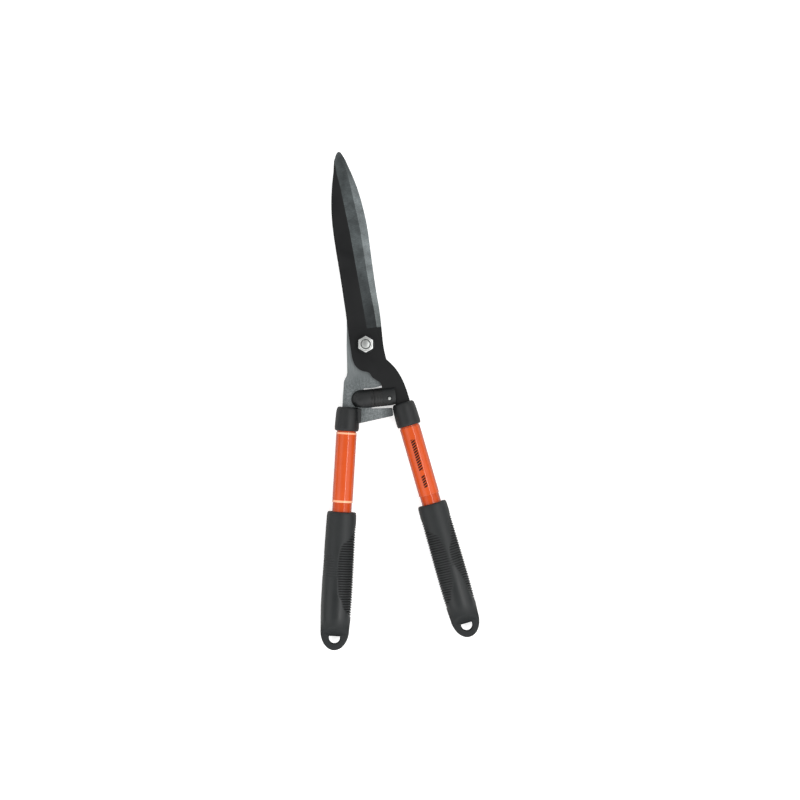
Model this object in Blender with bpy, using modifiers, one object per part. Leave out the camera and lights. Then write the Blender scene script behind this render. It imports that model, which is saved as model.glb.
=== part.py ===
"""Grass shears: two flat steel blades on one pivot bolt, each with a tang in a tubular handle.

Frame: metres, +Z up, shears lying on their back and closed. The origin is on the pivot axis, on the
underside of the bolt head, and +Y points towards the blade tips. The head and both grips reach Z = 0.
"""

import math

import bmesh
import bpy
from mathutils import Matrix, Vector

mm = 0.001

# ---- driving dimensions ----
GAP = 0.3 * mm  # clearance kept between neighbouring solids
BLADE_THICKNESS = 4.5 * mm

BOLT_RADIUS = 4.9 * mm  # M10
HOLE_RADIUS = BOLT_RADIUS + GAP
HEX_FLATS = 16 * mm
HEX_TURN = math.radians(-6.3)  # the nut is set with a corner almost along the blades
BOLT_HEAD_HEIGHT = 6.4 * mm
BOLT_STICKS_OUT = 1.6 * mm
REAR_WASHER = {"radius": 12 * mm, "thickness": 2.5 * mm}
FRONT_WASHER = {"radius": 10 * mm, "thickness": 2.0 * mm}
NUT_HEX_HEIGHT = 7 * mm
NUT_COLLAR_HEIGHT = 3 * mm
NUT_COLLAR_RADIUS = 7.1 * mm
NUT_RING_RADIUS = 6.0 * mm

HANDLE_ANGLE = math.radians(9.73)  # each handle from the closing plane, closed
HANDLE_OFFSET = {-1: 15.8 * mm, 1: 21.6 * mm}  # from the pivot axis to each handle's centre line
HANDLE_SHIFT = {-1: -1.4 * mm, 1: 1.4 * mm}  # the right tang is a little longer than the left
SIDE_NAMES = {-1: "left", 1: "right"}

TANG_HALF_WIDTH = 6.4 * mm
TANG_SHOULDER = 8.3 * mm  # half width of the right tang above its shoulders
TANG_END = 140 * mm  # this and the next are distances down a handle
FERRULE_TOP = 72.5 * mm
FERRULE_END = 99.3 * mm
TUBE_TOP = 92.5 * mm
TUBE_END = 312 * mm
PIN_AT = 96.2 * mm
SLEEVE_END = 145 * mm
LABEL_TOP = 101 * mm
LABEL_END = 179.5 * mm
GRIP_TOP = 190 * mm
GRIP_END = 345.4 * mm

TUBE_RADIUS = 10.8 * mm
TUBE_WALL = 1.2 * mm
LABEL_WALL = 0.4 * mm
PIN_RADIUS = 1.6 * mm
FERRULE_RADIUS = 13.6 * mm
GRIP_RADIUS = 17.5 * mm  # half the grip's width at its widest

STOP_Y = -60.4 * mm  # centre line of the two stops, square to the closing plane
STOP_RADIUS = 10.4 * mm
STOP_FACE_X = 2.7 * mm  # where the two pads meet
STOP_LEFT_END = -22.9 * mm
STOP_RIGHT_END = 27 * mm
STOP_LEFT_JOINT = -1.1 * mm  # between left holder and left pad
STOP_RIGHT_JOINT = 12.0 * mm
STOP_SLOT_HALF = 7.8 * mm  # half height of the slot that grips the left holder
RIVET_AT = (19.6 * mm, -62.9 * mm)
RIVET_RADIUS = 1.5 * mm

# ---- levels, from the floor up ----
REAR_WASHER_Z = BOLT_HEAD_HEIGHT + GAP
BACK_BLADE_Z = REAR_WASHER_Z + REAR_WASHER["thickness"] + GAP
FRONT_BLADE_Z = BACK_BLADE_Z + BLADE_THICKNESS + GAP
FRONT_WASHER_Z = FRONT_BLADE_Z + BLADE_THICKNESS + GAP
NUT_Z = FRONT_WASHER_Z + FRONT_WASHER["thickness"] + GAP
NUT_TOP = NUT_Z + NUT_HEX_HEIGHT + NUT_COLLAR_HEIGHT
HANDLE_Z = FRONT_BLADE_Z - GAP / 2
GRIP_FLATTEN = HANDLE_Z / GRIP_RADIUS  # the grips are oval and reach the floor

# Cutting edges from the heel to the tip, as (y, x) in mm. The front blade cuts to the right.
FRONT_EDGE = ((18, 19.5), (36, 19.4), (56, 18.2), (82, 17.2), (105, 16.7), (132, 15.9), (151, 13.9),
              (170, 10.8), (185, 7.1), (200, 2.4), (213, -2.4))
BACK_EDGE = ((18, -19.5), (40, -17.6), (60, -17.3), (82, -17.8), (110, -19.0), (138, -19.6), (160, -18.6),
             (180, -15.7), (196, -11.6), (208, -7.3))
# Widths of the main grind and of the edge bevel, in from the cutting edge, as (y, width) in mm.
GRIND_WIDTH = ((18, 16.4), (56, 18.0), (105, 19.2), (135, 20.6), (165, 19.6), (184, 17.2), (194, 16.0),
               (203, 13.2), (211, 10.2), (225, 7.0))
BEVEL_WIDTH = ((18, 5.3), (56, 6.6), (105, 7.9), (140, 8.5), (165, 8.0), (185, 5.6), (200, 3.6),
               (213, 2.6), (225, 2.6))
GRIND_START = 17.6 * mm  # the plunge line above the pivot
GRIND_DEPTH = 1.9 * mm  # taken off the thickness where the edge bevel begins
EDGE_DEPTH = 3.8 * mm  # taken off at the cutting edge

COLOURS = {
    "coated_steel": ((0.020, 0.021, 0.021), 0.45, 0.6),
    "ground_steel": ((0.20, 0.22, 0.22), 0.40, 0.9),
    "zinc": ((0.62, 0.62, 0.60), 0.35, 0.9),
    "spring_steel": ((0.03, 0.03, 0.03), 0.40, 0.8),
    "nylon": ((0.30, 0.42, 0.60), 0.50, 0.0),
    "black_rubber": ((0.022, 0.024, 0.024), 0.70, 0.0),
    "grip_rubber": ((0.036, 0.039, 0.037), 0.65, 0.0),
    "black_plastic": ((0.030, 0.033, 0.032), 0.50, 0.0),
    "natural_plastic": ((0.55, 0.53, 0.47), 0.55, 0.0),
    "orange_enamel": ((0.78, 0.13, 0.02), 0.30, 0.0),
    "orange_film": ((0.80, 0.14, 0.02), 0.20, 0.0),
}


# ---- scene and helpers ----
def start_scene():
    for obj in list(bpy.data.objects):
        bpy.data.objects.remove(obj)
    made = []
    for name in ("grass_shears", "cutters"):
        collection = bpy.data.collections.new(name)
        bpy.context.scene.collection.children.link(collection)
        made.append(collection)
    return made


PARTS, CUTTERS = start_scene()


def material(name):
    made = bpy.data.materials.get(name)
    if made is None:
        colour, roughness, metallic = COLOURS[name]
        made = bpy.data.materials.new(name)
        made.use_nodes = True
        shader = made.node_tree.nodes["Principled BSDF"]
        shader.inputs["Base Color"].default_value = (*colour, 1)
        shader.inputs["Roughness"].default_value = roughness
        shader.inputs["Metallic"].default_value = metallic
    return made


def place(name, data, parent=None, finish=None):
    """An object in the parts, or in the cutters if it has no finish."""
    obj = bpy.data.objects.new(name, data)
    obj.parent = parent
    if finish:
        PARTS.objects.link(obj)
        data.materials.clear()
        data.materials.append(material(finish))
    else:
        CUTTERS.objects.link(obj)
        obj.hide_render = True
        obj.display_type = "WIRE"
    return obj


def body_from(bm, name, parent=None, finish=None, smooth=30):
    bmesh.ops.recalc_face_normals(bm, faces=bm.faces)
    mesh = bpy.data.meshes.new(name)
    bm.to_mesh(mesh)
    bm.free()
    mesh.shade_smooth()
    mesh.set_sharp_from_angle(angle=math.radians(smooth))
    return place(name, mesh, parent, finish)


def cylinder(name, radius, low, high, at=(0, 0), parent=None, finish=None, segments=32, axis="Z"):
    """A cylinder from low to high along its parent's Z, or along X or Y."""
    bm = bmesh.new()
    bmesh.ops.create_cone(bm, cap_ends=True, segments=segments, radius1=radius, radius2=radius, depth=high - low)
    spin = {"Z": Matrix.Identity(4), "X": Matrix.Rotation(math.pi / 2, 4, "Y"),
            "Y": Matrix.Rotation(-math.pi / 2, 4, "X")}[axis]
    middle = (low + high) / 2
    centre = {"Z": (*at, middle), "X": (middle, *at), "Y": (at[0], middle, at[1])}[axis]
    bmesh.ops.transform(bm, matrix=Matrix.Translation(centre) @ spin, verts=bm.verts)
    return body_from(bm, name, parent, finish)


def box(name, low, high, parent=None):
    """A box cutter between two corners."""
    bm = bmesh.new()
    bmesh.ops.create_cube(bm, size=1)
    size = [h - l for l, h in zip(low, high)]
    bmesh.ops.scale(bm, vec=size, verts=bm.verts)
    bmesh.ops.translate(bm, vec=(Vector(low) + Vector(high)) / 2, verts=bm.verts)
    return body_from(bm, name, parent)


def turned(name, profile, parent=None, finish=None, steps=32, flatten=1.0):
    """A solid turned about Z from a profile of (radius, z) that runs down its outer side."""
    mesh = bpy.data.meshes.new(name)
    mesh.from_pydata([(r, 0, z) for r, z in profile], [(i, i + 1) for i in range(len(profile) - 1)], [])
    obj = place(name, mesh, parent, finish)
    screw = obj.modifiers.new("turn", "SCREW")
    screw.axis = "Z"
    screw.steps = screw.render_steps = steps
    screw.use_merge_vertices = True
    screw.merge_threshold = 0.00001
    screw.use_smooth_shade = True
    obj.scale = (1, flatten, 1)
    return obj


def ring(name, inner, outer, low, high, parent=None, finish=None, steps=32):
    profile = ((outer, high), (outer, low), (inner, low), (inner, high), (outer, high))
    return turned(name, profile, parent, finish, steps)


def loft(name, sections):
    """A cutter through equal-sized closed sections, with flat ends."""
    bm = bmesh.new()
    rings = [[bm.verts.new(point) for point in section] for section in sections]
    for below, above in zip(rings, rings[1:]):
        for i, _ in enumerate(below):
            j = (i + 1) % len(below)
            bm.faces.new((below[i], below[j], above[j], above[i]))
    bm.faces.new(rings[0])
    bm.faces.new(rings[-1])
    return body_from(bm, name)


def plate(name, outline, low, high, parent=None, finish=None, resolution=3):
    """A flat plate between two levels. An outline point is (x, y), or (x, y, "corner")."""
    curve = bpy.data.curves.new(name, "CURVE")
    curve.dimensions = "2D"
    curve.fill_mode = "BOTH"
    curve.extrude = (high - low) / 2
    curve.resolution_u = resolution
    spline = curve.splines.new("BEZIER")
    spline.bezier_points.add(len(outline) - 1)
    spline.use_cyclic_u = True
    for point, (x, y, *corner) in zip(spline.bezier_points, outline):
        point.co = (x, y, 0)
        kind = "VECTOR" if corner else "AUTO"
        point.handle_left_type = point.handle_right_type = kind
    guide = bpy.data.objects.new(name + "_curve", curve)
    CUTTERS.objects.link(guide)
    bpy.context.view_layer.update()
    mesh = bpy.data.meshes.new_from_object(guide.evaluated_get(bpy.context.evaluated_depsgraph_get()))
    bpy.data.objects.remove(guide)
    bm = bmesh.new()
    bm.from_mesh(mesh)
    bmesh.ops.remove_doubles(bm, verts=bm.verts, dist=0.00001)
    bmesh.ops.translate(bm, vec=(0, 0, (low + high) / 2), verts=bm.verts)
    return body_from(bm, name, parent, finish)


def change(obj, other, operation="DIFFERENCE"):
    modifier = obj.modifiers.new(other.name, "BOOLEAN")
    modifier.operation = operation
    modifier.object = other
    return obj


def smooth_line(keys, at):
    """The value at a place on a smooth line through keys of (place, value), all in mm."""
    last = len(keys) - 2
    i = max(0, min(last, sum(place <= at for place, _ in keys) - 1))
    slopes = []
    for k in (i, i + 1):
        before, after = keys[max(k - 1, 0)], keys[min(k + 1, last + 1)]
        slopes.append((after[1] - before[1]) / (after[0] - before[0]))
    (a, start), (b, end) = keys[i], keys[i + 1]
    length = b - a
    t = max(0.0, min(1.0, (at - a) / length))
    beyond = at - a - t * length
    return (start * (1 + 2 * t) * (1 - t) ** 2 + slopes[0] * length * t * (1 - t) ** 2
            + end * t * t * (3 - 2 * t) + slopes[1] * length * t * t * (t - 1) + slopes[1] * beyond)


def handle_frame(side):
    """An empty with X across the handle, Y up from the floor and Z down the handle, from the pivot's level."""
    empty = bpy.data.objects.new(SIDE_NAMES[side] + "_handle", None)
    PARTS.objects.link(empty)
    offset = HANDLE_OFFSET[side]
    shift = HANDLE_SHIFT[side]
    cos, sin = math.cos(HANDLE_ANGLE), math.sin(HANDLE_ANGLE)
    empty.location = (side * (offset * cos + shift * sin), offset * sin - shift * cos, HANDLE_Z)
    empty.rotation_euler = (math.pi / 2, 0, side * HANDLE_ANGLE)
    bpy.context.view_layer.update()
    return empty


def on_handle(handle, across, along):
    """The (x, y) of a point on a handle, as corner of a plate's outline."""
    point = handle.matrix_world @ Vector((across, 0, along))
    return point.x, point.y, "corner"


def scaled(points):
    return [(x * mm, y * mm, *rest) for x, y, *rest in points]


HANDLES = {side: handle_frame(side) for side in SIDE_NAMES}


# ---- the blades: flat forgings, ground on the outer face along the cutting edge ----
def grind(blade, edge, side, face, into):
    """Cuts the main grind and the edge bevel. face is the outer face's level, and into is -1 to cut down from it."""
    sections = []
    spare = 3 * mm
    for step in range(19):
        y = GRIND_START + step * 11.5 * mm
        edge_x = smooth_line(edge, y / mm) * mm
        grind_x = edge_x - side * smooth_line(GRIND_WIDTH, y / mm) * mm
        bevel_x = edge_x - side * smooth_line(BEVEL_WIDTH, y / mm) * mm
        slope = GRIND_DEPTH / abs(bevel_x - grind_x)
        past = (EDGE_DEPTH - GRIND_DEPTH) / abs(edge_x - bevel_x) * spare
        sections.append([
            (grind_x - side * spare, y, face - into * slope * spare),
            (bevel_x, y, face + into * GRIND_DEPTH),
            (edge_x + side * spare, y, face + into * (EDGE_DEPTH + past)),
            (edge_x + side * 4 * spare, y, face + into * (EDGE_DEPTH + past)),
            (edge_x + side * 4 * spare, y, face - into * 2 * spare),
            (grind_x - side * spare, y, face - into * 2 * spare),
        ])
    return change(blade, loft(blade.name + "_grind", sections))


def back_blade():
    """Lies underneath, cuts to the left, and has the fork that holds the left stop."""
    handle = HANDLES[-1]
    slot_low, slot_high = STOP_Y - STOP_SLOT_HALF, STOP_Y + STOP_SLOT_HALF
    slot_centre = STOP_LEFT_END + STOP_RADIUS
    slot_end = [(slot_centre + STOP_SLOT_HALF * math.cos(turn), STOP_Y + STOP_SLOT_HALF * math.sin(turn), "corner")
                for turn in (math.radians(270 - 15 * i) for i in range(13))]
    sweep = 49.2 * mm  # the fork's upper arm stays inside the right stop's sweep
    arm = [(sweep * math.sin(turn), -sweep * math.cos(turn), "corner")
           for turn in (math.radians(a) for a in (-9, -3, 3, 9, 15))]
    outline = [
        *scaled([(-4.6, 212.5)]),
        *scaled([(x, y) for y, x in reversed(BACK_EDGE)]),
        *scaled([(-21.7, 0), (-23.7, -22.8), (-25.0, -31.7), (-28.5, -37.3), (-30.6, -47.2)]),
        on_handle(handle, -TANG_HALF_WIDTH, FERRULE_TOP - GAP),
        on_handle(handle, -TANG_HALF_WIDTH, TANG_END),
        on_handle(handle, TANG_HALF_WIDTH, TANG_END),
        *scaled([(-24.5, -87.8, "corner"), (20.2, -82.9, "corner"), (21.2, -82.0, "corner"),
                 (21.2, -74.6, "corner"), (20.2, -73.6, "corner"), (-1.5, -71.9, "corner")]),
        (-1.5 * mm, slot_low, "corner"),
        *slot_end,
        (-9.6 * mm, slot_high, "corner"),
        *arm,
        *scaled([(14.0, -45.4, "corner"), (15.2, -38), (17.2, -26), (17.6, -8), (17.6, 12), (17.2, 35),
                 (16.0, 58), (15.0, 82), (14.4, 106), (13.4, 132), (11.6, 153), (8.9, 172), (5.0, 188), (0.2, 202)]),
    ]
    obj = plate("back_blade", outline, BACK_BLADE_Z, BACK_BLADE_Z + BLADE_THICKNESS, finish="ground_steel")
    grind(obj, BACK_EDGE, -1, BACK_BLADE_Z, 1)
    change(obj, PIVOT_HOLE)
    return change(obj, PIN_HOLES[-1])


def front_blade():
    """Lies on top, cuts to the right, and its tang bends out to the right handle."""
    handle = HANDLES[1]
    outline = [
        *scaled([(-6.2, 217.6), (-10.4, 213.6), (-14.9, 195), (-18.9, 176), (-21.6, 155.5), (-22.5, 136.6),
                 (-21.8, 110), (-20.3, 82.6), (-19.0, 51), (-18.1, 22), (-17.3, -4.4), (-16.2, -17.2),
                 (-13.3, -24.0), (-7.6, -28.8), (0.2, -32.0), (3.2, -37.4), (7.9, -41.5), (11.7, -45.0),
                 (12.5, -50.0), (12.6, -60.0, "corner"), (22.6, -69.0, "corner")]),
        on_handle(handle, -TANG_SHOULDER, FERRULE_TOP - GAP),
        on_handle(handle, -TANG_SHOULDER, FERRULE_TOP + 4 * mm),
        on_handle(handle, -TANG_HALF_WIDTH, FERRULE_TOP + 7 * mm),
        on_handle(handle, -TANG_HALF_WIDTH, TANG_END),
        on_handle(handle, TANG_HALF_WIDTH, TANG_END),
        on_handle(handle, TANG_HALF_WIDTH, FERRULE_TOP + 7 * mm),
        on_handle(handle, TANG_SHOULDER, FERRULE_TOP + 4 * mm),
        on_handle(handle, TANG_SHOULDER, FERRULE_TOP - GAP),
        *scaled([(39.6, -54.9), (36.7, -44.6), (33.2, -36.1), (28.8, -28.4), (24.4, -22.8),
                 (20.9, -18.9, "corner"), (19.6, -8), (19.3, 4)]),
        *scaled([(x, y) for y, x in FRONT_EDGE]),
    ]
    top = FRONT_BLADE_Z + BLADE_THICKNESS
    obj = plate("front_blade", outline, FRONT_BLADE_Z, top, finish="coated_steel")
    grind(obj, FRONT_EDGE, 1, top, -1)
    change(obj, PIVOT_HOLE)
    change(obj, RIVET_HOLE)
    return change(obj, PIN_HOLES[1])


# ---- the pivot: bolt from behind, washers, self-locking nut in front ----
def hexagon(name, low, high, chamfered_low, finish):
    """A hexagonal head or nut, turned to a cone at its outer end."""
    corner = HEX_FLATS / math.sqrt(3)
    face = 0.94 * HEX_FLATS / 2
    obj = cylinder(name, corner, low, high, segments=6, finish=finish)
    obj.rotation_euler.z = HEX_TURN
    drop = 2.6 * mm  # how far the cone falls out to twice the corners' radius
    profile = [(0, high + mm), (2 * corner, high + mm), (2 * corner, low + drop), (face, low), (0, low)]
    if not chamfered_low:
        profile = [(0, high), (face, high), (2 * corner, high - drop), (2 * corner, low - mm), (0, low - mm)]
    return change(obj, turned(name + "_chamfer", profile, steps=36), "INTERSECT")


def pivot():
    tip = NUT_TOP + BOLT_STICKS_OUT
    bolt = hexagon("pivot_bolt", 0, BOLT_HEAD_HEIGHT, True, "zinc")
    shank_profile = ((0, tip), (BOLT_RADIUS - mm, tip), (BOLT_RADIUS, tip - mm),
                     (BOLT_RADIUS, BOLT_HEAD_HEIGHT / 2), (0, BOLT_HEAD_HEIGHT / 2))
    change(bolt, turned("pivot_bolt_shank", shank_profile), "UNION")
    ring("rear_washer", HOLE_RADIUS, REAR_WASHER["radius"], REAR_WASHER_Z,
         REAR_WASHER_Z + REAR_WASHER["thickness"], finish="zinc")
    ring("front_washer", HOLE_RADIUS, FRONT_WASHER["radius"], FRONT_WASHER_Z,
         FRONT_WASHER_Z + FRONT_WASHER["thickness"], finish="spring_steel")
    nut = hexagon("pivot_nut", NUT_Z, NUT_Z + NUT_HEX_HEIGHT, False, "zinc")
    collar_z = NUT_Z + NUT_HEX_HEIGHT
    change(nut, cylinder("nut_collar", NUT_COLLAR_RADIUS, NUT_Z + mm, NUT_TOP), "UNION")
    change(nut, cylinder("nut_bore", HOLE_RADIUS, NUT_Z - mm, NUT_TOP + mm))
    change(nut, cylinder("nut_counterbore", NUT_RING_RADIUS + GAP, collar_z - GAP, NUT_TOP + mm))
    ring("nut_lock_ring", HOLE_RADIUS, NUT_RING_RADIUS, collar_z, NUT_TOP - GAP, finish="nylon")


# ---- the stops: holders on the two tangs, and the rubber pads that meet when the blades close ----
def stop_clearance(side):
    """What a stop gives up to the ferrule next to it."""
    reach = 2 * FERRULE_RADIUS
    return box("stop_clearance_" + SIDE_NAMES[side], (-reach, -reach, FERRULE_TOP - 0.5 * mm),
               (reach, reach, FERRULE_END), HANDLES[side])


def stop_left():
    """A round-ended holder with a groove that the back blade's slot slides into."""
    centre = STOP_LEFT_END + STOP_RADIUS
    round_end = [(STOP_RADIUS * math.cos(a), STOP_RADIUS * math.sin(a))
                 for a in (math.radians(90 - 10 * i) for i in range(10))]
    along_x = bpy.data.objects.new("stop_left_axis", None)
    PARTS.objects.link(along_x)
    along_x.location = (centre, STOP_Y, HANDLE_Z)
    along_x.rotation_euler = (0, -math.pi / 2, 0)  # its Z points to the closed end, away from the pad
    profile = [*((r, z) for r, z in round_end), (STOP_RADIUS, centre - STOP_LEFT_JOINT), (0, centre - STOP_LEFT_JOINT)]
    holder = turned("stop_holder_left", profile, along_x, "black_plastic", steps=32)
    core = STOP_SLOT_HALF - GAP
    groove = box("stop_groove", (STOP_LEFT_END - mm, STOP_Y - 2 * STOP_RADIUS, BACK_BLADE_Z - GAP),
                 (STOP_LEFT_JOINT + mm, STOP_Y + 2 * STOP_RADIUS, BACK_BLADE_Z + BLADE_THICKNESS + GAP))
    inner = cylinder("stop_core_end", core, 0, HANDLE_Z * 2, at=(centre, STOP_Y))
    inner_bar = box("stop_core_bar", (centre, STOP_Y - core, 0), (2 * -STOP_LEFT_END, STOP_Y + core, HANDLE_Z * 2))
    change(groove, inner)
    change(groove, inner_bar)
    change(holder, groove)
    change(holder, stop_clearance(-1))
    stem = 4 * mm
    stem_end = STOP_LEFT_JOINT - 8 * mm
    change(holder, cylinder("stop_socket_left", stem + GAP, stem_end - GAP, 0, at=(STOP_Y, HANDLE_Z), axis="X",
                            segments=24))
    pad = cylinder("stop_pad_left", STOP_RADIUS, STOP_LEFT_JOINT + GAP, STOP_FACE_X - GAP / 2, at=(STOP_Y, HANDLE_Z),
                   axis="X", segments=32, finish="black_rubber")
    change(pad, cylinder("stop_stem_left", stem, stem_end, STOP_FACE_X - mm, at=(STOP_Y, HANDLE_Z), axis="X",
                         segments=24), "UNION")


def stop_right():
    """A holder that straddles the front blade's tang, riveted to it, with a pad pressed over its spigot."""
    on_axis = {"at": (STOP_Y, HANDLE_Z), "axis": "X"}
    holder = cylinder("stop_holder_right", STOP_RADIUS, STOP_RIGHT_JOINT + GAP, STOP_RIGHT_END, **on_axis,
                      segments=32, finish="black_plastic")
    spigot = 6 * mm
    spigot_end = 6 * mm
    change(holder, cylinder("stop_spigot", spigot, spigot_end, STOP_RIGHT_JOINT + mm, **on_axis, segments=24), "UNION")
    change(holder, box("stop_kerf", (STOP_RIGHT_JOINT, STOP_Y - 2 * STOP_RADIUS, FRONT_BLADE_Z - GAP),
                       (2 * STOP_RIGHT_END, STOP_Y + 2 * STOP_RADIUS, FRONT_BLADE_Z + BLADE_THICKNESS + GAP)))
    change(holder, stop_clearance(1))
    change(holder, RIVET_HOLE)
    seat, seat_radius = HANDLE_Z + STOP_RADIUS - 1.6 * mm, 2.6 * mm
    change(holder, cylinder("rivet_seat_top", seat_radius, seat, 2 * seat, at=RIVET_AT, segments=24))
    change(holder, cylinder("rivet_seat_low", seat_radius, -seat, 2 * HANDLE_Z - seat, at=RIVET_AT, segments=24))
    pad = cylinder("stop_pad_right", STOP_RADIUS, STOP_FACE_X + GAP / 2, STOP_RIGHT_JOINT, **on_axis,
                   segments=32, finish="black_rubber")
    change(pad, cylinder("stop_pad_bore", spigot + GAP, spigot_end - GAP, STOP_RIGHT_JOINT + mm, **on_axis,
                         segments=24))
    head = 2.3 * mm
    top, low = seat + GAP, 2 * HANDLE_Z - seat - GAP
    profile = ((0, top + 1.1 * mm), (head * 0.7, top + 0.9 * mm), (head, top), (RIVET_RADIUS, top),
               (RIVET_RADIUS, low), (head, low), (head * 0.7, low - 0.9 * mm), (0, low - 1.1 * mm))
    rivet = turned("stop_rivet", profile, finish="zinc", steps=20)
    rivet.location = (*RIVET_AT, 0)


# ---- the handles ----
def ferrule(side, handle):
    """A moulded collar that closes the tube and lets the tang in. The left one is slotted for the fork's lower arm."""
    name = "ferrule_" + SIDE_NAMES[side]
    top, end, r = FERRULE_TOP, FERRULE_END, FERRULE_RADIUS
    profile = ((0, end), (r - 1.2 * mm, end), (r - 0.4 * mm, end - mm), (r, end - 4 * mm),
               (r - 0.5 * mm, top + 8 * mm), (r - 1.1 * mm, top + 3 * mm), (r - 2.8 * mm, top), (0, top))
    obj = turned(name, profile, handle, "black_plastic")
    low = (BACK_BLADE_Z, FRONT_BLADE_Z)[side > 0] - GAP - HANDLE_Z
    high = low + BLADE_THICKNESS + 2 * GAP
    if side < 0:
        boss = box(name + "_boss", (0, -7 * mm, top + 1.2 * mm), (r + 1.7 * mm, 6.4 * mm, top + 16.5 * mm),
                   handle)
        change(obj, boss, "UNION")
        change(obj, box(name + "_side_slot", (0, low, top - mm), (2 * r, high, top + 20.5 * mm), handle))
    else:
        shoulder = TANG_SHOULDER + GAP
        change(obj, box(name + "_shoulder_slot", (-shoulder, low, top - mm), (shoulder, high, top + 7.5 * mm), handle))
    width = TANG_HALF_WIDTH + GAP
    change(obj, box(name + "_tang_slot", (-width, low, top - mm), (width, high, end + mm), handle))
    return change(obj, cylinder(name + "_tube_socket", TUBE_RADIUS + GAP, TUBE_TOP - GAP, end + mm, parent=handle))


def tang_sleeve(side, handle):
    """The moulded plug that centres the flat tang in the round tube."""
    name = "tang_sleeve_" + SIDE_NAMES[side]
    radius = TUBE_RADIUS - TUBE_WALL - GAP
    obj = cylinder(name, radius, TUBE_TOP, SLEEVE_END, parent=handle, finish="natural_plastic", segments=32)
    low = (BACK_BLADE_Z, FRONT_BLADE_Z)[side > 0] - GAP - HANDLE_Z
    width = TANG_HALF_WIDTH + GAP
    slot = box(name + "_slot", (-width, low, TUBE_TOP - mm), (width, low + BLADE_THICKNESS + 2 * GAP, TANG_END + GAP),
               handle)
    change(obj, slot)
    return change(obj, PIN_HOLES[side])


def handle_tube(side, handle):
    obj = ring("handle_tube_" + SIDE_NAMES[side], TUBE_RADIUS - TUBE_WALL, TUBE_RADIUS, TUBE_TOP, TUBE_END,
               handle, "orange_enamel")
    return change(obj, PIN_HOLES[side])


def label_sleeve(side, handle):
    inner = TUBE_RADIUS + GAP
    return ring("label_sleeve_" + SIDE_NAMES[side], inner, inner + LABEL_WALL, LABEL_TOP, LABEL_END, handle,
                "orange_film")


def grip(side, handle):
    """An oval moulded grip over the tube's end, thinned to a flat tab with a D-shaped hole to hang it by."""
    name = "grip_" + SIDE_NAMES[side]
    end_width, end_length = 16.1 * mm, 22.4 * mm
    end_profile = [(end_width * math.sin(a), GRIP_END - end_length * (1 - math.cos(a)))
                   for a in (math.radians(10 * i) for i in range(10))]
    profile = [*end_profile, (16.9 * mm, 309 * mm), (17.4 * mm, 295 * mm), (GRIP_RADIUS, 270 * mm),
               (17.1 * mm, 230 * mm), (16.6 * mm, 193 * mm), (15.8 * mm, GRIP_TOP), (0, GRIP_TOP)]
    obj = turned(name, profile, handle, "grip_rubber", flatten=GRIP_FLATTEN)
    change(obj, cylinder(name + "_bore", TUBE_RADIUS + GAP, GRIP_TOP - mm, TUBE_END + GAP, parent=handle))
    tab, thin_from, thin_to = 4.5 * mm, 318 * mm, 328.4 * mm  # half the tab's thickness, and where it thins
    for face, up in (("top", 1), ("low", -1)):
        far = 2 * GRIP_RADIUS
        past_end = 2 * GRIP_END
        corners = ((thin_from, 15 * mm), (thin_to, tab), (past_end, tab), (past_end, far), (thin_from, far))
        wedge = loft(name + "_tab_" + face, [[(x, up * y, z) for z, y in corners] for x in (-far, far)])
        wedge.parent = handle
        change(obj, wedge)
    half, flat_at = 6.2 * mm, 329.2 * mm
    arc = [(half * math.cos(a), flat_at + 2.2 * mm + half * math.sin(a)) for a in (math.pi * i / 12 for i in range(13))]
    hole = [(half, flat_at), *arc, (-half, flat_at)]
    hang = loft(name + "_hang_hole", [[(x, y, z) for x, z in hole] for y in (-far, far)])
    hang.parent = handle
    return change(obj, hang)


PIVOT_HOLE = cylinder("pivot_hole", HOLE_RADIUS, 0, 2 * HANDLE_Z)
RIVET_HOLE = cylinder("rivet_hole", RIVET_RADIUS + GAP, -HANDLE_Z, 3 * HANDLE_Z, at=RIVET_AT, segments=20)
PIN_HOLES = {side: cylinder("pin_hole_" + name, PIN_RADIUS + GAP, -2 * HANDLE_Z, 2 * HANDLE_Z, at=(0, PIN_AT),
                            parent=HANDLES[side], axis="Y", segments=20)
             for side, name in SIDE_NAMES.items()}

back_blade()
front_blade()
pivot()
stop_left()
stop_right()
for hand, frame in HANDLES.items():
    ferrule(hand, frame)
    tang_sleeve(hand, frame)
    pin_length = TUBE_RADIUS - 0.2 * mm
    cylinder("tang_pin_" + SIDE_NAMES[hand], PIN_RADIUS, -pin_length, pin_length, at=(0, PIN_AT), parent=frame,
             axis="Y", segments=20, finish="spring_steel")
    handle_tube(hand, frame)
    label_sleeve(hand, frame)
    grip(hand, frame)
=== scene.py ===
"""Grass shears lying closed on a pale floor: the looks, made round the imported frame."""

import math

import bmesh
import bpy
from mathutils import Matrix, Vector


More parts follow.
